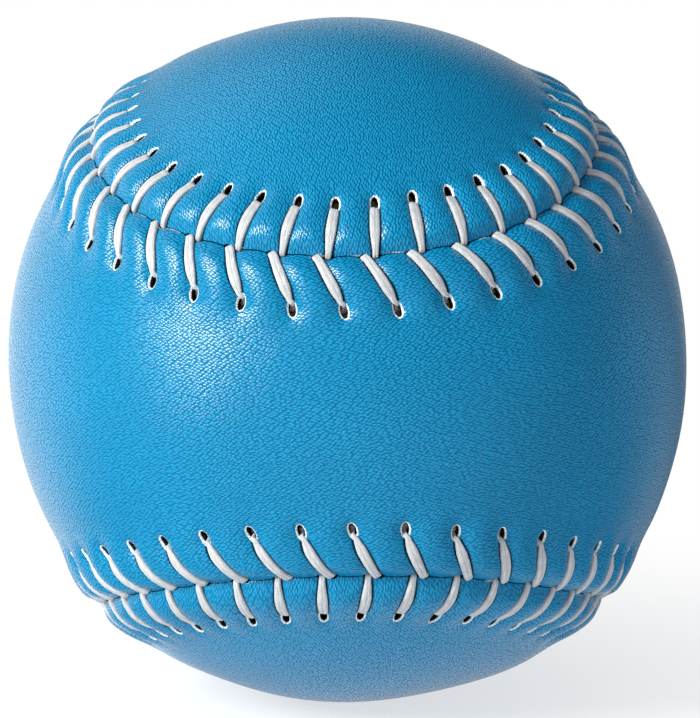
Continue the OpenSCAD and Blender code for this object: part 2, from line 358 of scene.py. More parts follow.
class Sewing:
    """Where the holes, legs and feet of the stitches lie, and how they shape the leather

    A leg is the part of a thread that shows, from its hole to its foot in the seam.
    """

    # Share of a stitch at which the holes lie, and by which a leg leans back from hole to foot
    HOLE_SHARE = {FRONT: 0.9, BACK: 0.7}
    LEAN_SHARE = {FRONT: 0.55, BACK: 0.12}
    FRONT_LEAN_POWER, BACK_LEAN_POWER = 1.25, 1.7
    # How much farther from the seam than the given distance the holes lie
    FARTHER = {FRONT: 0.0, BACK: 0.4}
    # Holes that the thread drew away from the seam: stitch number, distance, reach in stitches
    PULLED_OUT = {FRONT: ((72, 0.7, 3.5),), BACK: ()}
    # A leg comes out of the leather this far inside its hole's near end
    LEG_INSET = 0.2
    # Shares of the full width at a leg's two ends, and the shares of its length that they span
    NECK = {FRONT: 0.45, BACK: 0.95}
    NECK_SPAN = (-0.05, 0.32)
    TIP = {FRONT: 0.8, BACK: 0.56}
    TIP_SPAN = (0.45, 1)
    # Differences from stitch to stitch: shares of a stitch, mm, shares of a width and radians
    SEED = {FRONT: 5, BACK: 8}
    SCATTER = {"hole": 0.012, "out": 0.07, "lean": 0.025, "bow": 0.012, "width": 0.035, "turn": 0.08}
    # Wander of the crease towards the front panel: its place at the feet, how far it bows back
    # between them, and slow waves with their height, rate and start
    CREASE_AT_FEET, CREASE_BOW = 0.1, 0.26
    CREASE_WAVES = (0.05, 0.9, 2.0), (0.04, 2.31, 0.0)
    # Half length along the seam of the gap that a side's foot opens
    FOOT_REACH = {FRONT: 0.62, BACK: 0.58}
    GROOVE_POWER = 1.4
    # Pillows: how broad they are and how much of their height lies below the smooth leather, and
    # the distances from the crease and from the seam over which they rise and fall
    PUFF_POWER, PUFF_BELOW = 0.8, 0.6
    PUFF_RISE, PUFF_FALL = (0, 2.2), (5.5, 10.5)
    # Dents under the legs: their half width, and the distances over which they set in and end
    DENT_REACH = 0.95
    DENT_RISE, DENT_FALL = (-0.1, 0.5), (6.8, 8.4)
    # Distance that is added beyond a leg's start, where no thread lies, and where it sets in
    NO_THREAD, NO_THREAD_SPAN = 4, (-0.1, 0.5)
    # Hollows at the holes: depth, reach along the seam, and a factor on the distance across it
    PINCH_DEPTH, PINCH_REACH, PINCH_ACROSS = 0.3, 1.5, 0.8
    # Waves of the hand-stretched cover: how many, their seed, height and range of rates
    WAVES, WAVE_SEED, WAVE_HEIGHT, WAVE_RATES = 14, 3, 0.012, (4, 13)
    # Its lumps: direction from the centre, height, and reach as a share of the radius
    LUMPS = (
        ((0.53, -0.23, -0.82), 1.1, 0.21),
        ((-0.50, 0.07, 0.86), 0.6, 0.17),
        ((-0.54, -0.23, -0.81), 0.5, 0.14),
        ((0.70, 0.04, 0.71), -0.5, 0.16),
        ((0.86, -0.17, -0.48), 0.35, 0.14),
        ((-0.99, -0.1, -0.07), -0.5, 0.38),
        ((1.0, -0.08, 0.05), -0.45, 0.25),
    )

    def __init__(self, cover, stitching):
        self.seam = Seam(cover, stitching.count)
        self.count = stitching.count
        self.radius = cover.radius / MM
        self.leather = cover.leather / MM
        self.welt_height = cover.welt_height / MM
        self.welt_width = cover.welt_width / MM
        self.groove_depth = cover.groove_depth / MM
        self.groove_width = cover.groove_width / MM
        self.edge_gap = cover.edge_gap / MM
        self.foot_gap = cover.foot_gap / MM
        self.pillow = cover.pillow / MM
        self.dent = cover.dent / MM
        self.hole_away = {
            side: stitching.hole_distance / MM + farther for side, farther in self.FARTHER.items()
        }
        self.thread_width = stitching.thread_width / MM
        self.hole_half = (stitching.hole_width / MM / 2, stitching.hole_length / MM / 2)
        self.rim = stitching.rim / MM
        self.leg_start = {
            side: away - self.hole_half[1] + self.LEG_INSET for side, away in self.hole_away.items()
        }
        self.stitches = {side: self.scatter(side) for side in SIDES}
        waves = np.random.default_rng(self.WAVE_SEED)
        self.wave_ways = unit(waves.normal(size=(self.WAVES, 3)))
        self.wave_rates = waves.uniform(*self.WAVE_RATES, self.WAVES)
        self.wave_starts = waves.uniform(0, 2 * math.pi, self.WAVES)

    def scatter(self, side):
        """Small differences from stitch to stitch, as a hand sews them"""
        draw = np.random.default_rng(self.SEED[side])
        own = {key: draw.normal(0, size, self.count) for key, size in self.SCATTER.items()}
        own["out"] += self.seam.pulled(np.arange(self.count, dtype=float), self.PULLED_OUT[side])
        own["width"] += 1
        return own

    def lean(self, side, share):
        """How far a leg has moved back along the seam, share of the way from hole to foot"""
        if side == FRONT:
            curve = share**self.FRONT_LEAN_POWER
        else:
            curve = 1 - (1 - share) ** self.BACK_LEAN_POWER
        return self.LEAN_SHARE[side] * curve

    def leg(self, side, i, share):
        """Stitch numbers of the legs i at a share of the way from hole to foot"""
        own = self.stitches[side]
        lean = self.lean(side, share) * (1 + own["lean"][i] / self.LEAN_SHARE[FRONT])
        bow = own["bow"][i] * np.sin(math.pi * share)
        return i + self.HOLE_SHARE[side] + own["hole"][i] * (1 - share) - lean + bow

    def leg_width(self, side, i, share):
        """Width of the legs i: narrow where they leave their holes and at their feet"""
        neck = self.NECK[side] + (1 - self.NECK[side]) * smooth(*self.NECK_SPAN, share)
        tip = 1 - (1 - self.TIP[side]) * smooth(*self.TIP_SPAN, share)
        return self.thread_width * self.stitches[side]["width"][i] * neck * tip

    def foot(self, side):
        """Share of a stitch at which the feet of a side dive into the seam"""
        return self.HOLE_SHARE[side] - self.LEAN_SHARE[side]

    def crease(self, t):
        """Wander of the seam towards the front panel: it bows to the back between the feet"""
        middle = (self.foot(FRONT) + self.foot(BACK)) / 2
        bow = 0.5 - 0.5 * np.cos(2 * math.pi * (t - middle))
        place = self.CREASE_AT_FEET - self.CREASE_BOW * bow
        for height, rate, start in self.CREASE_WAVES:
            place = place + height * np.sin(rate * t + start)
        return place

    def half_gap(self, t):
        """Half of the gap between the edges, wide where threads dive between them"""
        gap = self.edge_gap
        for side, reach in self.FOOT_REACH.items():
            off = (t - self.foot(side) + 0.5) % 1 - 0.5
            gap = np.maximum(gap, self.foot_gap * np.exp(-((off * self.seam.pitch / reach) ** 4)))
        return gap

    def edge(self, side, t):
        """Distance of a panel's edge from the seam line"""
        return side * self.crease(t) + self.half_gap(t)

    def welt(self, away):
        """Swelling of the sewn edge above the smooth panels"""
        swell = np.cos(math.pi / 2 * np.clip(away / self.welt_width, 0, 1)) ** 2
        groove = np.exp(-((np.maximum(away, 0) / self.groove_width) ** self.GROOVE_POWER))
        return self.welt_height * swell - self.groove_depth * groove

    def from_leg(self, side, t, away):
        """Distance along the seam from the nearest leg, the same in stitches, and its number"""
        share = np.clip(1 - away / self.hole_away[side], 0, 1)
        nearest = np.floor(t - self.HOLE_SHARE[side] + self.lean(side, share) + 0.5)
        i = nearest.astype(int) % self.count
        off = (t - self.leg(side, i, share) + 0.5) % 1 - 0.5
        return off * self.seam.pitch, off, i

    def beside_leg(self, side, t, away):
        """Distance outside the nearest thread's edge, negative under the thread"""
        off, _, i = self.from_leg(side, t, away)
        start = self.leg_start[side]
        share = np.clip(1 - away / start, 0, 1)
        past_hole = self.NO_THREAD * smooth(*self.NO_THREAD_SPAN, away - start)
        return np.abs(off) - self.leg_width(side, i, share) / 2 + past_hole

    def unevenness(self, t, away, side):
        """Broad shallow lumps of a cover that is stretched by hand"""
        ways = self.seam.place(t, side * away, 1)
        waves = np.sin(ways @ self.wave_ways.T * self.wave_rates + self.wave_starts)
        rise = self.WAVE_HEIGHT * waves.sum(1)
        for way, height, reach in self.LUMPS:
            rise += height * np.exp(-((ways - way) ** 2).sum(1) / reach**2)
        return rise.reshape(np.shape(t))

    def top(self, side, t, away):
        """Radius of the leather's outer face"""
        t, away = np.broadcast_arrays(t, away)
        inside = away - side * self.crease(t)
        off, phase, i = self.from_leg(side, t, away)
        puff = np.abs(np.sin(math.pi * phase)) ** self.PUFF_POWER - self.PUFF_BELOW
        puffed = smooth(*self.PUFF_RISE, inside) * (1 - smooth(*self.PUFF_FALL, away))
        under = np.exp(-((off / self.DENT_REACH) ** 2))
        pressed = smooth(*self.DENT_RISE, inside) * (1 - smooth(*self.DENT_FALL, away))
        out = away - self.hole_away[side] - self.stitches[side]["out"][i]
        pinch = np.exp(-(off**2 + (out * self.PINCH_ACROSS) ** 2) / self.PINCH_REACH**2)
        return (
            self.radius
            + self.welt(inside)
            + self.pillow * puff * puffed
            - self.dent * under * pressed
            - self.PINCH_DEPTH * pinch
            + self.unevenness(t, away, side)
        )


def grain_way(points, side):
    """Flat coordinates of the leather's grain: the panel's length and its width"""
    panels_apart = 40.0
    p = unit(points if side == FRONT else -points[:, [2, 1, 0]]) * GRAIN_RADIUS
    along = np.arctan2(p[:, 0], -p[:, 1]) * GRAIN_RADIUS
    across = np.arcsin(np.clip(p[:, 2] / GRAIN_RADIUS, -1, 1)) * GRAIN_RADIUS
    return np.stack([along, across, np.full(len(p), panels_apart * side)], 1)


def new_mesh(name, points, faces, attributes):
    """Object with a smooth mesh, its points in millimetres, and its point attributes"""
    mesh = bpy.data.meshes.new(name)
    mesh.from_pydata((points * MM).tolist(), [], faces)
    for key, values in attributes.items():
        values = np.asarray(values, np.float32)
        kind = "FLOAT" if values.ndim == 1 else "FLOAT_VECTOR"
        field = "value" if values.ndim == 1 else "vector"
        mesh.attributes.new(key, kind, "POINT").data.foreach_set(field, values.ravel())
    mesh.shade_smooth()
    mesh.validate()
    piece = bpy.data.objects.new(name, mesh)
    bpy.context.scene.collection.objects.link(piece)
    return piece


class PanelMesh:
    """Closed mesh of one cover panel: an outer and an inner skin, a cut edge and open holes

    Each skin is a grid with rows along the seam and columns across it. Its cells bend round the
    holes, and beyond the sewn edge it goes on to the panel's middle line with fewer columns.
    Every point carries how raw the leather is, how much painted shade it gets on the hidden side
    and in the holes, and its distance from the nearest thread and from the cut edge, from which
    the leather's material paints the threads' shadows and the crease's shade.
    """

    # Columns to a stitch, distance between rows, and the fine columns that one coarse one joins
    COLUMNS = 18
    STEP = 0.39
    COARSE = 3
    # Cells from a hole's middle to its rim, and to where the grid is straight again, and the
    # width that each ring of cells between them adds
    HOLE_CELLS = 2.5
    WARP_CELLS = 7.5
    RING_GROWTH = 0.3
    # Share of a leg at which its slope is taken, and the share of that slope that its hole takes
    SLOPE_AT, SLOPE_SHARE = 0.12, 0.8
    # Radius of the rounded cut edge, and points round it as angles
    LIP = 0.19
    LIP_ANGLES = np.radians([0, 25, 50, 72, 90])
    # Distance within which the rows follow the wander of the edge
    BLEND = 2.6
    # Distances between which the columns drift to places that both edges of the panel share
    DRIFT_SPAN = (9.8, 13.2)
    # Least room between the lip and the next row, in steps, and the rows beyond the holes
    LIP_ROOM = 0.6
    ROWS_BEYOND = 14
    # Coarse rows of both skins, and how they crowd to the sewn edge
    OUTER_ROWS, INNER_ROWS, CROWDING = 12, 6, 1.15
    # Rows of the plainer inner skin: distances at the edge, then steps before and after the holes
    INNER_EDGE, INNER_BEFORE, INNER_AFTER = (0.0, 0.9, 3.0), (2, 1), (1, 2, 7, 14)
    # Drop of the leather at a hole's rim, and the depth share at which the hole's wall turns to painted
    # shade
    RIM_DROP, THROAT = 0.12, 0.12
    # Distance of points that lie far from every thread and edge
    FAR = 9

    def __init__(self, sewing, side):
        self.sewing, self.side, self.seam = sewing, side, sewing.seam
        self.columns = self.COLUMNS * sewing.count
        self.ahead = round(sewing.HOLE_SHARE[side] * self.COLUMNS)
        self.points, self.raw, self.shade, self.press, self.level = [], [], [], [], []
        self.faces = []
        self.total = 0

    def add(self, points, raw, shade, press=FAR, level=FAR):
        """Adds points and returns their numbers"""
        start = self.total
        self.points.append(points)
        stores = (self.raw, raw), (self.shade, shade), (self.press, press), (self.level, level)
        for store, value in stores:
            store.append(np.broadcast_to(np.asarray(value, float).ravel(), (len(points),)))
        self.total += len(points)
        return np.arange(start, self.total)

    def fill(self, *corners, flip=False):
        """Adds faces with these corners, turned outwards, or inwards for an inner skin"""
        rows = np.stack(corners, 1)
        if (self.side == FRONT) != flip:
            rows = rows[:, ::-1]
        self.faces += rows.tolist()

    def grid(self, rows):
        """Stitch numbers and distances of the grid's points, and their cells from the holes"""
        sewing, side = self.sewing, self.side
        phase = sewing.HOLE_SHARE[side]
        rows = np.asarray(rows)[:, None]
        k = np.arange(self.columns)
        drift = self.ahead / self.COLUMNS - phase
        t = phase + (k + 0.5) / self.COLUMNS + drift * smooth(*self.DRIFT_SPAN, rows)
        away = rows + sewing.edge(side, t) * np.clip(1 - rows / self.BLEND, 0, 1)
        alpha = (k + 0.5 + self.COLUMNS / 2) % self.COLUMNS - self.COLUMNS / 2
        beta = (rows - sewing.hole_away[side]) / self.STEP
        cells = np.maximum(np.abs(alpha), np.abs(beta))
        i = np.floor((k + 0.5) / self.COLUMNS + 0.5).astype(int) % sewing.count
        x, y = self.round_hole(i, alpha / cells, beta / cells, cells)
        keep = smooth(self.HOLE_CELLS + 1, self.WARP_CELLS, cells)
        hole_t = i + phase
        x = (1 - keep) * x / self.local_pitch(hole_t) + keep * alpha / self.COLUMNS
        y = (1 - keep) * y + keep * beta * self.STEP
        t = np.where(keep < 1, hole_t + x, t)
        away = np.where(keep < 1, sewing.hole_away[side] + y, away)
        return t, away, cells, alpha

    def round_hole(self, i, a, b, cells):
        """Places round the oval holes i, in mm, for directions a, b on a square and their cells"""
        sewing, side = self.sewing, self.side
        own = sewing.stitches[side]
        ring = np.maximum(cells - self.HOLE_CELLS, 0)
        beyond = sewing.rim + (ring - 1) * self.RING_GROWTH
        grow = np.where(ring <= 1, ring * sewing.rim, beyond)
        x = a * np.sqrt(1 - b * b / 2) * (sewing.hole_half[0] + grow)
        y = b * np.sqrt(1 - a * a / 2) * (sewing.hole_half[1] + grow)
        slope = sewing.lean(side, self.SLOPE_AT) / self.SLOPE_AT * self.seam.pitch
        tilt = np.arctan(slope / sewing.hole_away[side]) * self.SLOPE_SHARE + own["turn"][i]
        x, y = x * np.cos(tilt) + y * np.sin(tilt), y * np.cos(tilt) - x * np.sin(tilt)
        return x + own["hole"][i] * self.seam.pitch, y + own["out"][i]

    def local_pitch(self, t):
        """Length of a stitch along the row of the holes"""
        half = 0.05
        away = self.side * self.sewing.hole_away[self.side]
        ends = [self.seam.place(t + d, away, self.sewing.radius) for d in (-half, half)]
        return np.linalg.norm(ends[1] - ends[0], axis=1) / (2 * half)

    def lip_drop(self, rows):
        """Depth by which the rounded edge of the leather falls away"""
        inside = np.clip(rows, 0, self.LIP)
        return self.LIP - np.sqrt(self.LIP**2 - (self.LIP - inside) ** 2)

    def skin(self, rows, inner):
        """Adds one skin of the sewn edge and returns its point numbers, rows first"""
        sewing, side = self.sewing, self.side
        t, away, cells, alpha = self.grid(rows)
        level = np.broadcast_to(np.asarray(rows)[:, None], t.shape)
        radius = sewing.top(side, t, away)
        ring = cells - self.HOLE_CELLS
        if inner:
            radius = np.maximum(radius, sewing.radius) - sewing.leather
        else:
            radius = radius - self.lip_drop(level) - self.RIM_DROP * np.clip(1 - ring, 0, 1)
        # Distance outside the nearest thread: the material paints the thread's shadow on the leather
        # close beside it
        press = sewing.beside_leg(side, t, away)
        raw = np.clip(2 - ring, 0, 1)
        # The inner skin is painted near black as shade by the material
        shade = np.full(t.shape, float(inner))
        points = self.seam.place(t, side * away, radius)
        numbers = self.add(points, raw, shade, press, level).reshape(t.shape)
        self.fill_cells(numbers, cells, alpha, inner)
        return numbers

    def fill_cells(self, numbers, cells, alpha, flip):
        """Adds the faces between the rows of a skin, without the holes"""
        k = np.arange(self.columns)
        n = (k + 1) % self.columns
        same_hole = np.abs(alpha[k] - alpha[n]) < self.COLUMNS / 2
        for r in range(len(numbers) - 1):
            corners = np.stack([cells[r, k], cells[r, n], cells[r + 1, k], cells[r + 1, n]])
            hole = (corners.max(0) <= self.HOLE_CELLS + 0.01) & same_hole
            a, b = k[~hole], n[~hole]
            self.fill(numbers[r, a], numbers[r, b], numbers[r + 1, b], numbers[r + 1, a], flip=flip)

    def rim_ring(self, numbers, rows, i):
        """Point numbers round hole i, in order"""
        middle = self.sewing.hole_away[self.side]
        first = int(np.argmin(np.abs((rows - middle) / self.STEP + self.HOLE_CELLS)))
        span = int(2 * self.HOLE_CELLS)
        start = i * self.COLUMNS - int(self.HOLE_CELLS + 0.5)
        low, high = np.arange(span), np.arange(span, 0, -1)
        r = np.concatenate([np.zeros(span, int), low, np.full(span, span), high]) + first
        k = np.concatenate([low, np.full(span, span), high, np.zeros(span, int)]) + start
        return numbers[r, k % self.columns]

    def wall(self, outer, outer_rows, inner, inner_rows):
        """Adds the walls of all holes: a short raw throat and, below it, a depth painted dark as shade
        """
        points = np.concatenate(self.points)
        for i in range(self.sewing.count):
            top = self.rim_ring(outer, outer_rows, i)
            low = self.rim_ring(inner, inner_rows, i)
            # Below the throat the hole's wall is painted dark as shade
            throat = self.add(points[top] + (points[low] - points[top]) * self.THROAT, 0, 1)
            for upper, lower in ((top, throat), (throat, low)):
                self.fill(upper, np.roll(upper, -1), np.roll(lower, -1), lower)

    def middle_index(self, n):
        """Number of the middle point that each coarse column ends in"""
        lobe = int(self.seam.lobe_length / self.seam.pitch_angle * n / self.sewing.count - 0.5)
        i = np.arange(n)
        return np.clip(np.minimum(i, n - 1 - i), lobe, n // 2 - 1 - lobe) - lobe

    def middle(self, last, start_row, rows, inner):
        """Adds the smooth middle of a skin with fewer columns, from its last fine row inwards"""
        sewing, side = self.sewing, self.side
        n = self.columns // self.COARSE
        first = (1 - self.ahead) % self.COARSE
        ahead = (self.ahead + first - 1) // self.COARSE
        t = (np.arange(n) + ahead + 0.5) * self.COARSE / self.COLUMNS
        middle = self.seam.middle(t, side)
        least, drop = (sewing.radius, sewing.leather) if inner else (0, 0)
        nxt = np.roll(np.arange(n), -1)
        ring = None
        for r in range(rows):
            share = ((r + 1) / (rows + 1)) ** self.CROWDING
            away = start_row + (middle - start_row) * share
            radius = np.maximum(sewing.top(side, t, away), least) - drop
            # The inner skin's middle is painted as shade too
            numbers = self.add(self.seam.place(t, side * away, radius), 0, float(inner))
            if ring is None:
                self.step_down(last, numbers, first, inner)
            else:
                self.fill(ring, ring[nxt], numbers[nxt], numbers, flip=inner)
            ring = numbers
        quarter = 0 if side == FRONT else n // 4
        index = self.middle_index(n)[(np.arange(n) + ahead - quarter) % n]
        pick = np.unique(index, return_index=True)[1]
        radius = np.maximum(sewing.top(side, t[pick], middle[pick]), least) - drop
        ends = self.add(self.seam.place(t[pick], side * middle[pick], radius), 0, float(inner))
        ends_next, same = ends[index[nxt]], index == index[nxt]
        ends, ring_next = ends[index], ring[nxt]
        self.fill(ring[same], ring_next[same], ends[same], flip=inner)
        self.fill(ring[~same], ring_next[~same], ends_next[~same], ends[~same], flip=inner)

    def step_down(self, fine, coarse, first, flip):
        """Faces between a fine row and a row with a third of its columns"""
        at = (first + np.arange(len(coarse)) * self.COARSE) % self.columns
        a, b, c, d = (fine[(at + j) % self.columns] for j in range(4))
        nxt = np.roll(coarse, -1)
        self.fill(a, b, coarse, flip=flip)
        self.fill(b, c, nxt, coarse, flip=flip)
        self.fill(c, d, nxt, flip=flip)

    def build(self):
        """Puts the panel together and returns its object"""
        step, hole = self.STEP, self.sewing.hole_away[self.side]
        before, after = hole - self.HOLE_CELLS * step, hole + self.HOLE_CELLS * step
        lip = self.LIP * (1 - np.cos(self.LIP_ANGLES))
        up = np.arange(before - step, self.LIP + self.LIP_ROOM * step, -step)[::-1]
        ring = before + step * np.arange(int(2 * self.HOLE_CELLS) + 1)
        down = after + step * np.arange(1, self.ROWS_BEYOND + 1)
        rows = np.concatenate([lip, up, ring, down])
        inner_rows = np.concatenate([
            self.INNER_EDGE,
            before - step * np.array(self.INNER_BEFORE),
            ring,
            after + step * np.array(self.INNER_AFTER),
        ])
        outer = self.skin(rows, False)
        inner = self.skin(inner_rows, True)
        k = np.arange(self.columns)
        n = (k + 1) % self.columns
        self.fill(inner[0, k], inner[0, n], outer[0, n], outer[0, k])
        self.wall(outer, rows, inner, inner_rows)
        self.middle(outer[-1], rows[-1], self.OUTER_ROWS, False)
        self.middle(inner[-1], inner_rows[-1], self.INNER_ROWS, True)
        points = np.concatenate(self.points)
        attributes = {
            "raw": np.concatenate(self.raw),
            "shade": np.concatenate(self.shade),
            "press": np.concatenate(self.press) * MM,
            "level": np.concatenate(self.level) * MM,
            "grain": grain_way(points, self.side) * MM,
        }
        return new_mesh("leather_" + SIDES[self.side], points, self.faces, attributes)


class ThreadMesh:
    """One waxed thread: up a hole, over the leather, down the seam and on to the next hole"""

    # Points round half of the ribbon's outline, as angles, and how square the outline is
    SECTION = np.radians([0, 24, 46, 65, 79, 90, 101, 115, 134, 156])
    SQUARENESS = 0.45
    # Depth and half width of the groove between the two plies, as shares of the ribbon's
    PLY_DEPTH, PLY_WIDTH = 0.08, 0.13
    # Control points along a leg as shares of it, and how many lie before and after it
    LEG_SHARES = np.linspace(0.035, 0.92, 14)
    RISING, DIVING = 4, 3
    # How far before the crease a side's legs end, how deep they sink into the leather, and the
    # height above the core at which the thread runs on under the cover
    TUCK = {FRONT: -0.12, BACK: 0.05}
    SINK = 0.14
    ABOVE_CORE = 0.42

    def __init__(self, sewing, stitching, first):
        self.sewing, self.first = sewing, first
        self.width = stitching.thread_width / MM
        self.thick = stitching.thread_thickness / MM

    def controls(self, i):
        """The side of stitch i, and the thread's way along it

        Each row has a stitch number, a distance from the seam, a radius, and the shares of the
        thread's full width and thickness.
        """
        sewing = self.sewing
        side = FRONT if (i + self.first) % 2 == 0 else BACK
        out = sewing.stitches[side]["out"][i]
        hole_u, start_u = sewing.hole_away[side] + out, sewing.leg_start[side] + out
        hole_t, foot_t = sewing.leg(side, i, 0.0), sewing.leg(side, i, 1.0)
        crease = side * sewing.crease(foot_t)
        end_u = crease + self.TUCK[side]
        neck, tip = sewing.leg_width(side, i, 0.0) / self.width, sewing.TIP[side]
        rim, lip = sewing.top(side, hole_t, start_u), sewing.top(side, foot_t, crease + 0.35)
        low = CORE_RADIUS + self.ABOVE_CORE
        up_the_hole = [
            (hole_t + 0.01, hole_u - 0.1, low, 0.6, 0.5),
            (hole_t, hole_u - 0.5, rim - 1.2, 0.44, 0.5),
            (hole_t, start_u + 0.04, rim - 0.5, neck, 0.6),
            (hole_t - 0.002, start_u, rim + 0.04, neck, 0.7),
        ]
        over_the_leather = []
        for share in self.LEG_SHARES:
            u = start_u + (end_u - start_u) * share
            t = sewing.leg(side, i, 1 - (1 - share) * start_u / hole_u)
            wide = sewing.leg_width(side, i, share) / self.width
            thick = 0.8 + 0.2 * smooth(0, 0.3, share) - 0.15 * smooth(0.7, 1, share)
            bed = sewing.top(side, t, max(u, crease + 0.3)) - self.SINK
            over_the_leather.append((t, u, bed + self.thick * thick / 2, wide, thick))
        down_the_seam = [
            (foot_t - 0.004, end_u + 0.16, lip + 0.08, tip, 0.8),
            (foot_t - 0.004, end_u - 0.02, lip - 0.36, 0.95 * tip, 0.7),
            (foot_t, crease - 0.04, lip - 0.95, 0.9 * tip, 0.65),
        ]
        under_the_cover = [
            (foot_t + 0.03, crease - 0.25, low + 0.3, 0.6, 0.5),
            (foot_t + 0.2, crease - 1.3, low, 0.6, 0.4),
            (foot_t + 0.75, crease - 4.3, low, 0.6, 0.4),
        ]
        return side, np.array(up_the_hole + over_the_leather + down_the_seam + under_the_cover)

    def path(self):
        """Control points of each stitch, and the width and thickness shares of all of them"""
        places, sizes = [], []
        for i in range(self.sewing.count):
            side, rows = self.controls(i)
            places.append(self.sewing.seam.place(rows[:, 0], side * rows[:, 1], rows[:, 2]))
            sizes.append(rows[:, 3:])
        return places, np.concatenate(sizes)

    def flat_ways(self, places):
        """Direction across the ribbon at each control point, without a sudden turn"""
        leg_end = self.RISING + len(self.LEG_SHARES)
        dive_end = leg_end + self.DIVING
        ways = []
        for j, own in enumerate(places):
            before, after = places[j - 1], places[(j + 1) % len(places)]
            run = np.gradient(own, axis=0)
            run[:self.RISING] = run[self.RISING]
            run[leg_end:dive_end] = run[leg_end - 1]
            run[dive_end:] = after[0] - own[dive_end - 1]
            run[0] -= own[0] - before[-2]
            ways.append(unit(np.cross(run, unit(own))))
        ways = np.concatenate(ways)
        turns = np.sign((ways * np.roll(ways, 1, 0)).sum(1))
        turns[0] = 1
        return ways * np.cumprod(turns)[:, None]

    @staticmethod
    def finer(values):
        """Twice as many values: the given ones, and halfway ones on a Catmull-Rom curve"""
        a, b, c, d = (np.roll(values, s, 0) for s in (1, 0, -1, -2))
        halfway = (9 * (b + c) - a - d) / 16
        return np.stack([values, halfway], 1).reshape(len(values) * 2, -1)

    def section(self, width, thick):
        """Outline of the ribbon: two plies side by side with a fine groove between them"""
        angles = np.concatenate([self.SECTION, self.SECTION + math.pi])
        x, z = np.cos(angles), np.sin(angles)
        z = np.sign(z) * np.abs(z) ** self.SQUARENESS
        groove = 1 - self.PLY_DEPTH * np.exp(-((x / self.PLY_WIDTH) ** 2))
        return width[:, None] / 2 * x, thick[:, None] / 2 * z * groove, np.abs(x)

    def build(self, name):
        """Puts the thread together and returns its object"""
        places, sizes = self.path()
        centres, sizes, ways = (
            self.finer(values) for values in (np.concatenate(places), sizes, self.flat_ways(places))
        )
        travel = unit(np.roll(centres, -1, 0) - np.roll(centres, 1, 0))
        up = unit(np.cross(ways, travel))
        across = np.cross(travel, up)
        x, z, from_middle = self.section(self.width * sizes[:, 0], self.thick * sizes[:, 1])
        points = centres[:, None] + across[:, None] * x[..., None] + up[:, None] * z[..., None]
        run = np.cumsum(np.linalg.norm(centres - np.roll(centres, 1, 0), axis=1))
        lay = np.stack([np.broadcast_to(run[:, None], x.shape), x, z], -1)
        a = np.arange(x.size).reshape(x.shape)
        b = np.roll(a, -1, 1)
        c, d = np.roll(b, -1, 0), np.roll(a, -1, 0)
        faces = np.stack([a, d, c, b], -1).reshape(-1, 4)
        attributes = {
            "lay": lay.reshape(-1, 3) * MM,
            "ply": np.broadcast_to(from_middle, x.shape).ravel(),
        }
        return new_mesh(name, points.reshape(-1, 3), faces.tolist(), attributes)


class Nodes:
    """Small helper that adds shader nodes to a new material or world and links them"""

    def __init__(self, owner):
        owner.use_nodes = True
        self.owner = owner
        self.tree = owner.node_tree
        self.shader = self.tree.nodes.get("Principled BSDF") or self.tree.nodes["Background"]

    def add(self, kind, settings=None, **inputs):
        """Adds a node, with settings for its own fields and values or links for its inputs

        An input is given by its name, or by i and its number where names repeat.
        """
        node = self.tree.nodes.new("ShaderNode" + kind)
        for key, value in (settings or {}).items():
            setattr(node, key, value)
        for key, value in inputs.items():
            self.put(node.inputs[int(key[1:])] if key[1:].isdigit() else node.inputs[key], value)
        return node

    def put(self, socket, value):
        """Links an output to an input, or sets the input's own value"""
        if isinstance(value, bpy.types.NodeSocket):
            self.tree.links.new(value, socket)
        else:
            socket.default_value = value

    def attribute(self, name):
        """Reads a point attribute that is one number"""
        return self.add("Attribute", {"attribute_name": name}).outputs["Fac"]

    def way(self, name):
        """Reads a point attribute that is a vector"""
        return self.add("Attribute", {"attribute_name": name}).outputs["Vector"]

    def math(self, operation, *values):
        """Adds a math node and returns its output"""
        inputs = {f"i{j}": value for j, value in enumerate(values)}
        return self.add("Math", {"operation": operation}, **inputs).outputs[0]

    def vector_math(self, operation, *vectors, **inputs):
        """Adds a vector math node and returns its outputs"""
        inputs.update({f"i{j}": vector for j, vector in enumerate(vectors)})
        return self.add("VectorMath", {"operation": operation}, **inputs).outputs

    def span(self, value, low, high, out_low=0.0, out_high=1.0):
        """Maps a value from one span to another, smoothly"""
        node = self.add("MapRange", {"interpolation_type": "SMOOTHSTEP"})
        for socket, given in zip(node.inputs, (value, low, high, out_low, out_high)):
            self.put(socket, given)
        return node.outputs[0]

    def mix(self, share, first, second):
        """Mixes two colours"""
        return self.add("Mix", {"data_type": "RGBA"}, i0=share, i6=first, i7=second).outputs[2]

    def noise(self, vector, scale, detail, roughness=0.5):
        """Adds a noise texture and returns it"""
        return self.add(
            "TexNoise", None, Vector=vector, Scale=scale, Detail=detail, Roughness=roughness)

    def bump(self, height, distance):
        """Adds a bump and returns its normal"""
        return self.add("Bump", None, Distance=distance, Height=height).outputs[0]

    def finish(self, **inputs):
        """Sets or links the shader's inputs, whose names have _ for a space, and returns the owner"""
        for key, value in inputs.items():
            self.put(self.shader.inputs[key.replace("_", " ")], value)
        return self.owner


def rgba(colour, share=1.0):
    """Colour with full alpha, darkened to a share of its light"""
    return (*(min(1.0, share * c) for c in colour), 1.0)


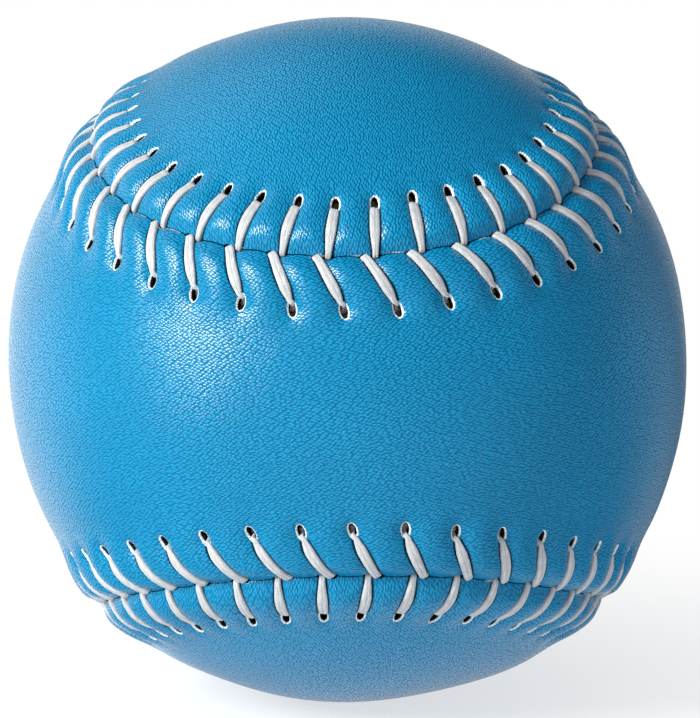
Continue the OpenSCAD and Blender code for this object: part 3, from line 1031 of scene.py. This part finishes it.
def leather_material(finish):
    """Blue leather under a clear coat: stretched pebbled grain, raw white where it is cut, painted
    shade beside the threads, in the crease, in the holes and on the hidden side

    The deep relief of the grain shades the leather, and the coat fills most of it, so that its
    gloss is broad and soft and lies on the pebbles' tops.
    """
    n = Nodes(bpy.data.materials.new("blue_leather"))
    grain = n.way("grain")
    bent = grain
    # Two swirls bend the rows of pebbles: fineness of each, and how far it pushes them
    for fineness, push in ((55.0, 0.0034), (400.0, 0.00045)):
        swirl = n.noise(grain, fineness, 1.0).outputs["Color"]
        centred = n.vector_math("SUBTRACT", swirl, (0.5, 0.5, 0.5))[0]
        bent = n.vector_math("ADD", bent, n.vector_math("SCALE", centred, Scale=push)[0])[0]
    fine = 1.0 / finish.pebble
    laid = n.add("Mapping", None, Vector=bent, Scale=(fine / 2, fine, fine),
                 Rotation=(0.0, 0.0, math.radians(33)))
    pebbles = n.add("TexVoronoi", {"feature": "F1", "voronoi_dimensions": "2D"},
                    Vector=laid.outputs[0], Scale=1.0, Randomness=0.48)
    top = n.span(pebbles.outputs["Distance"], 0.2, 0.7, 1.0, 0.0)
    # Cut rims of the holes, painted shade on the hidden side, painted shadow beside each thread and
    # painted shade in the seam's crease
    raw = n.span(n.attribute("raw"), 0.80, 0.93)
    shade = n.attribute("shade")
    # Painted shadow of the threads: a dark band on the leather close beside each of them
    press = n.span(n.attribute("press"), 0.0001, 0.00036, 1.0, 0.0)
    level = n.attribute("level")
    # Painted shade in the seam's crease: the leather turns dark within 0.08 mm of its cut edge
    crease = n.span(level, 0.00001, 0.00008, 1.0, 0.0)
    # Bits of torn raw edge that stand up out of the crease
    torn = n.span(n.noise(grain, 140.0, 3.0, 0.6).outputs[0], 0.6, 0.66)
    edge = n.math("MULTIPLY", n.span(level, 0.0002, 0.00009), torn)
    # Valleys between the pebbles are darker: partly the grain's own tone, partly painted shade
    blue = n.mix(top, rgba(finish.valley_tone_and_shade), rgba(finish.leather))
    # The painted thread shadows and the painted crease shade are the leather at 6% of its light
    dark = n.math("MAXIMUM", n.math("MULTIPLY", press, 0.95), crease)
    white = n.math("MAXIMUM", raw, n.math("MULTIPLY", edge, 0.7))
    skin = n.mix(white, n.mix(dark, blue, rgba(finish.leather, 0.06)), rgba(finish.raw_leather))
    dull = n.math("MAXIMUM", n.math("MAXIMUM", raw, dark), shade)
    rough = n.math("ADD", n.span(top, 0.0, 1.0, 0.6, 0.4), n.math("MULTIPLY", dull, 0.35))
    coat = n.math("MULTIPLY", n.span(top, 0.1, 0.8, 0.3, 1.0), n.span(dull, 0.0, 1.0, 1.0, 0.1))
    return n.finish(
        # Hidden side and holes' walls: painted shade, near black
        Base_Color=n.mix(shade, skin, rgba(finish.raw_leather, 0.03)),
        Roughness=rough,
        Normal=n.bump(top, finish.relief),
        Specular_IOR_Level=0.03,
        Coat_Weight=coat,
        Coat_Normal=n.bump(top, finish.coat_relief),
        Coat_Roughness=0.27,
        Coat_IOR=1.57,
    )


def thread_material(finish):
    """White waxed thread: fine fibres along its run and a darker line between its two plies, partly
    dirt and partly painted shade in the groove there
    """
    n = Nodes(bpy.data.materials.new("waxed_thread"))
    fibres = n.add("Mapping", None, Vector=n.way("lay"), Scale=(900.0, 9000.0, 9000.0))
    strands = n.noise(fibres.outputs[0], 1.0, 3.0, 0.6).outputs[0]
    # Line between the plies: partly dirt, partly painted shade in their groove, darkened towards half
    # the thread's light
    between = n.span(n.attribute("ply"), 0.0, 0.22, 1.0, 0.0)
    white = n.mix(n.span(strands, 0.3, 0.7), rgba(finish.thread, 0.68), rgba(finish.thread, 1.06))
    return n.finish(
        Base_Color=n.mix(n.math("MULTIPLY", between, 0.5), white, rgba(finish.thread, 0.5)),
        Roughness=n.span(strands, 0.2, 0.8, 0.62, 0.46),
        Normal=n.bump(strands, 0.00009),
        Specular_IOR_Level=0.3,
    )


def foam_material(finish):
    """Moulded foam: matte, with the faint mottling and pores of its skin"""
    n = Nodes(bpy.data.materials.new("moulded_foam"))
    place = n.add("TexCoord").outputs["Object"]
    pores = n.add("TexVoronoi", None, Vector=place, Scale=900.0).outputs["Distance"]
    cloud = n.noise(place, 60.0, 4.0).outputs[0]
    return n.finish(
        Base_Color=n.mix(n.span(cloud, 0.3, 0.7), rgba(finish.foam, 0.8), rgba(finish.foam)),
        Roughness=n.span(cloud, 0.2, 0.8, 0.7, 0.85),
        Normal=n.bump(pores, 0.0001),
    )


def cement_material(finish):
    """Dried rubber cement: amber, brushed on unevenly"""
    n = Nodes(bpy.data.materials.new("rubber_cement"))
    place = n.add("TexCoord").outputs["Object"]
    strokes = n.add("Mapping", None, Vector=place, Scale=(1.0, 1.0, 6.0)).outputs[0]
    brush = n.noise(strokes, 180.0, 4.0, 0.6).outputs[0]
    return n.finish(
        Base_Color=n.mix(n.span(brush, 0.3, 0.7), rgba(finish.cement, 0.6), rgba(finish.cement)),
        Roughness=n.span(brush, 0.2, 0.8, 0.35, 0.55),
        Normal=n.bump(brush, 0.00015),
    )


def dress(node, material):
    """Gives a CAD node its material"""
    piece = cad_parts[node]
    piece.data.materials.clear()
    piece.data.materials.append(material)


class SOFTBALL_OT_core(bpy.types.Operator):
    """Finish the moulded foam core"""

    bl_idname = "softball.core"
    bl_label = "Foam core"

    def execute(self, context):
        dress("core", foam_material(context.scene.softball_finish))
        return {"FINISHED"}


class SOFTBALL_OT_cement(bpy.types.Operator):
    """Finish the rubber cement under both panels"""

    bl_idname = "softball.cement"
    bl_label = "Rubber cement"

    def execute(self, context):
        material = cement_material(context.scene.softball_finish)
        for side in SIDES.values():
            dress("cement_" + side, material)
        return {"FINISHED"}


class SOFTBALL_OT_cover(bpy.types.Operator):
    """Build the two figure-eight leather panels"""

    bl_idname = "softball.cover"
    bl_label = "Cover panels"

    def execute(self, context):
        cover, stitching, finish = settings()
        sewing = Sewing(cover, stitching)
        material = leather_material(finish)
        for side, name in SIDES.items():
            panel = PanelMesh(sewing, side).build()
            panel.data.materials.append(material)
            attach(panel, BODY)
            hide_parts("cover_panel_" + name)
        return {"FINISHED"}


class SOFTBALL_OT_threads(bpy.types.Operator):
    """Sew the two waxed threads"""

    bl_idname = "softball.threads"
    bl_label = "Waxed threads"

    def execute(self, context):
        cover, stitching, finish = settings()
        sewing = Sewing(cover, stitching)
        material = thread_material(finish)
        for first, name in enumerate(("first", "second")):
            thread = ThreadMesh(sewing, stitching, first).build("waxed_thread_" + name)
            thread.data.materials.append(material)
            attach(thread, BODY)
            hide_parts("thread_" + name)
        return {"FINISHED"}


def from_angles(azimuth, elevation, distance):
    """Place at an azimuth to the right of the front and an elevation above the ball's level"""
    level = math.cos(elevation)
    way = Vector((math.sin(azimuth) * level, -math.cos(azimuth) * level, math.sin(elevation)))
    return way * distance


def make_camera(studio, radius):
    """Camera at the photo's viewing angle, with the ball at its place in the frame"""
    data = bpy.data.cameras.new("camera")
    camera = bpy.data.objects.new("camera", data)
    bpy.context.scene.collection.objects.link(camera)
    place = from_angles(studio.azimuth, studio.elevation, studio.distance)
    back = place.normalized()
    level = Vector((math.cos(studio.azimuth), math.sin(studio.azimuth), 0))
    up = back.cross(level)
    right = level * math.cos(studio.roll) + up * math.sin(studio.roll)
    up = back.cross(right)
    camera.matrix_world = Matrix.Translation(place) @ Matrix((right, up, back)).transposed().to_4x4()
    edge = math.sqrt(studio.distance**2 - radius**2)
    focal_pixels = studio.ball_pixels * edge / radius
    data.sensor_width = 36
    data.lens = focal_pixels / PHOTO_H * data.sensor_width
    data.shift_x = (PHOTO_W / 2 - BALL_CENTRE_X) / PHOTO_H
    data.shift_y = (BALL_CENTRE_Y - PHOTO_H / 2) / PHOTO_H
    data.clip_start, data.clip_end = 0.01, 20
    bpy.context.scene.camera = camera


def make_lamp(name, place, size, power, colour):
    """Soft lamp that faces the ball: azimuth, elevation and distance, then width and height"""
    data = bpy.data.lights.new(name, "AREA")
    data.shape, data.energy, data.color = "RECTANGLE", power, colour
    data.size, data.size_y = size
    lamp = bpy.data.objects.new(name, data)
    bpy.context.scene.collection.objects.link(lamp)
    azimuth, elevation, distance = place
    lamp.location = from_angles(math.radians(azimuth), math.radians(elevation), distance)
    lamp.rotation_euler = (-lamp.location).to_track_quat("-Z", "Y").to_euler()


def surroundings(n, way, studio, wall_start):
    """Brightness that gloss shows in a direction: a dark room with bright parts behind the ball"""
    parts = (
        (BACK_WAY, *BACK_SPAN, studio.room, studio.room + studio.back),
        (WALL_WAY, wall_start, WALL_FULL, 0, studio.wall),
        (SCREEN_WAY, *SCREEN_SPAN, 0, studio.screen),
        (ABOVE_WAY, *ABOVE_SPAN, 0, studio.above),
    )
    lights = [n.span(n.vector_math("DOT_PRODUCT", way, part[0])["Value"], *part[1:]) for part in parts]
    total = lights[0]
    for light in lights[1:]:
        total = n.math("ADD", total, light)
    return total


def by_ray(n, plain, gloss, seen):
    """Mix of three shaders: one lights the pieces, one is what gloss shows, one what the camera sees"""
    path = n.add("LightPath").outputs
    shiny = n.math("MAXIMUM", path["Is Glossy Ray"], path["Is Transmission Ray"])
    lit = n.add("MixShader", None, i0=shiny, i1=plain.outputs[0], i2=gloss.outputs[0]).outputs[0]
    camera = path["Is Camera Ray"]
    return n.add("MixShader", None, i0=camera, i1=lit, i2=seen.outputs[0]).outputs[0]


def make_world(studio):
    """White surroundings for the camera, soft light for the ball, and a darker room for its gloss"""
    n = Nodes(bpy.data.worlds.new("studio"))
    bpy.context.scene.world = n.owner
    way = n.add("TexCoord").outputs["Generated"]
    room = surroundings(n, way, studio, WALL_START_IN_ROOM)
    ambient = n.add("Background", None, Color=AMBIENT_COLOUR, Strength=studio.ambient)
    gloss = n.add("Background", None, Color=(1, 1, 1, 1), Strength=room)
    n.finish(Color=(1, 1, 1, 1), Strength=1.0)
    n.put(n.tree.nodes["World Output"].inputs["Surface"], by_ray(n, ambient, gloss, n.shader))


def make_floor(level, studio):
    """Pale table that glows, keeps the ball's shadow and fades to white away from it"""
    mesh = bpy.data.meshes.new("floor")
    corners = [(x * TABLE_HALF, y * TABLE_HALF, level) for x, y in ((-1, -1), (1, -1), (1, 1), (-1, 1))]
    mesh.from_pydata(corners, [], [(0, 1, 2, 3)])
    floor = bpy.data.objects.new("floor", mesh)
    bpy.context.scene.collection.objects.link(floor)
    n = Nodes(bpy.data.materials.new("pale_floor"))
    n.tree.nodes.remove(n.shader)
    place = n.add("NewGeometry").outputs["Position"]
    length = n.vector_math("LENGTH", place)["Value"]
    paint = n.add("BsdfDiffuse", None, Color=TABLE_COLOUR)
    glow = n.add("Emission", None, Strength=studio.table_glow)
    lit = n.add("AddShader", None, i0=paint.outputs[0], i1=glow.outputs[0])
    white = n.add("Emission")
    seen = n.add("MixShader", None, i0=n.span(length, *TABLE_FADE), i1=lit.outputs[0],
                 i2=white.outputs[0])
    level_way = n.vector_math("MULTIPLY", place, (1, 1, 0))["Vector"]
    way = n.vector_math("NORMALIZE", level_way)["Vector"]
    room = surroundings(n, way, studio, WALL_START_ON_TABLE)
    gloss = n.add("Emission", None, Strength=n.math("ADD", room, n.span(length, *TABLE_GLOSS)))
    n.put(n.tree.nodes["Material Output"].inputs["Surface"], by_ray(n, lit, gloss, seen))
    mesh.materials.append(n.owner)
    floor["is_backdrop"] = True


class SOFTBALL_OT_stage(bpy.types.Operator):
    """Set up the camera, the lamps and the floor"""

    bl_idname = "softball.stage"
    bl_label = "Studio"

    def execute(self, context):
        scene = context.scene
        studio = scene.softball_studio
        make_camera(studio, scene.softball_cover.radius)
        make_world(studio)
        make_lamp("key_lamp", KEY_PLACE, KEY_SIZE, studio.key_power, KEY_COLOUR)
        make_floor(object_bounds()[0].z, studio)
        scene.view_settings.view_transform = "Standard"
        return {"FINISHED"}


class SOFTBALL_PT_panel(bpy.types.Panel):
    """Lists the pieces of the softball and their sizes"""

    bl_idname = "SOFTBALL_PT_panel"
    bl_label = "Softball"
    bl_space_type = "VIEW_3D"
    bl_region_type = "UI"
    bl_category = "Softball"

    def draw(self, context):
        for operator in OPERATORS:
            self.layout.operator(operator.bl_idname)
        for key in GROUPS:
            group = getattr(context.scene, key)
            box = self.layout.box()
            for name in group.bl_rna.properties.keys():
                if name not in ("rna_type", "name"):
                    box.prop(group, name)


GROUPS = {
    "softball_cover": SoftballCover,
    "softball_stitching": SoftballStitching,
    "softball_finish": SoftballFinish,
    "softball_studio": SoftballStudio,
}
OPERATORS = (
    SOFTBALL_OT_core,
    SOFTBALL_OT_cement,
    SOFTBALL_OT_cover,
    SOFTBALL_OT_threads,
    SOFTBALL_OT_stage,
)


def register():
    for cls in (*GROUPS.values(), *OPERATORS, SOFTBALL_PT_panel):
        bpy.utils.register_class(cls)
    for key, group in GROUPS.items():
        setattr(bpy.types.Scene, key, bpy.props.PointerProperty(type=group))


def unregister():
    for key in GROUPS:
        delattr(bpy.types.Scene, key)
    for cls in (SOFTBALL_PT_panel, *reversed(OPERATORS), *reversed(list(GROUPS.values()))):
        bpy.utils.unregister_class(cls)


def main():
    register()
    bpy.ops.softball.core()
    bpy.ops.softball.cement()
    bpy.ops.softball.cover()
    bpy.ops.softball.threads()
    bpy.ops.softball.stage()


if __name__ == "__main__":
    main()
